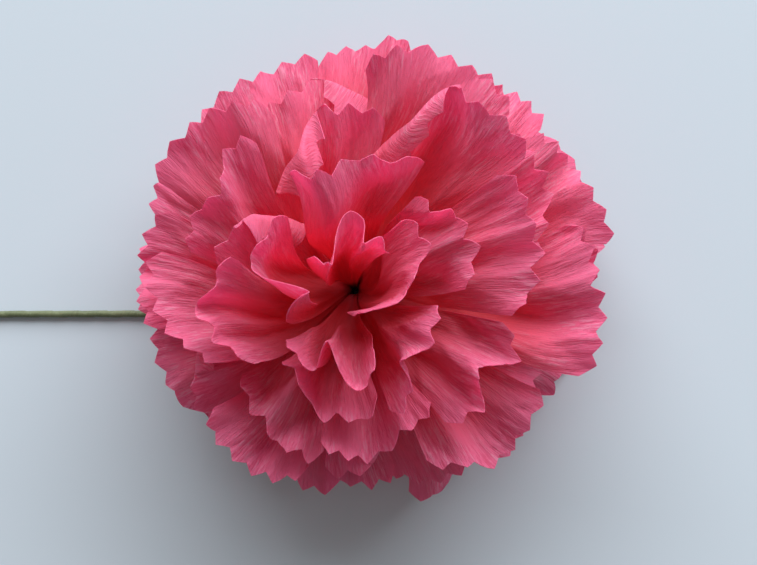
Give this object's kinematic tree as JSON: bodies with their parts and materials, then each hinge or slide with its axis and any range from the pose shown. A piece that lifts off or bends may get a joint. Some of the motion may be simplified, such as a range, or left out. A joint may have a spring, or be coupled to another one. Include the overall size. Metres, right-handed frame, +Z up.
{
  "type": "crepe paper carnation",
  "caption": "Crepe paper carnation lying face up: fan petals with pinked edges gathered round a wire, bound with thread and taped down into a bent green stem.",
  "frame": {"origin": "centre of the footprint of the flower's box, on the surface that it lies on", "axes": "+X along the stem towards the bloom, +Z up out of the bloom's face"},
  "size_m": [0.2494, 0.1104, 0.0705],
  "materials": {
    "crepe_paper": "matte crinkled",
    "binding_thread": "matte",
    "floral_tape": "satin wax",
    "stem_wire": "green lacquer"
  },
  "bodies": {
    "root": {"petal_1_01": "crepe_paper", "petal_1_02": "crepe_paper", "petal_1_03": "crepe_paper", "petal_1_04": "crepe_paper", "petal_2_01": "crepe_paper", "petal_2_02": "crepe_paper", "petal_2_03": "crepe_paper", "petal_2_04": "crepe_paper", "petal_2_05": "crepe_paper", "petal_2_06": "crepe_paper", "petal_3_01": "crepe_paper", "petal_3_02": "crepe_paper", "petal_3_03": "crepe_paper", "petal_3_04": "crepe_paper", "petal_3_05": "crepe_paper", "petal_3_06": "crepe_paper", "petal_3_07": "crepe_paper", "petal_3_08": "crepe_paper", "petal_4_01": "crepe_paper", "petal_4_02": "crepe_paper", "petal_4_03": "crepe_paper", "petal_4_04": "crepe_paper", "petal_4_05": "crepe_paper", "petal_4_06": "crepe_paper", "petal_4_07": "crepe_paper", "petal_4_08": "crepe_paper", "petal_4_09": "crepe_paper", "petal_4_10": "crepe_paper", "petal_5_01": "crepe_paper", "petal_5_02": "crepe_paper", "petal_5_03": "crepe_paper", "petal_5_04": "crepe_paper", "petal_5_05": "crepe_paper", "petal_5_06": "crepe_paper", "petal_5_07": "crepe_paper", "petal_5_08": "crepe_paper", "petal_5_09": "crepe_paper", "petal_5_10": "crepe_paper", "petal_5_11": "crepe_paper", "petal_5_12": "crepe_paper", "petal_6_01": "crepe_paper", "petal_6_02": "crepe_paper", "petal_6_03": "crepe_paper", "petal_6_04": "crepe_paper", "petal_6_05": "crepe_paper", "petal_6_06": "crepe_paper", "petal_6_07": "crepe_paper", "petal_6_08": "crepe_paper", "petal_6_09": "crepe_paper", "petal_6_10": "crepe_paper", "petal_6_11": "crepe_paper", "petal_6_12": "crepe_paper", "petal_6_13": "crepe_paper", "binding_thread": "binding_thread", "floral_tape": "floral_tape", "stem_wire": "stem_wire"}
  },
  "joints": []
}
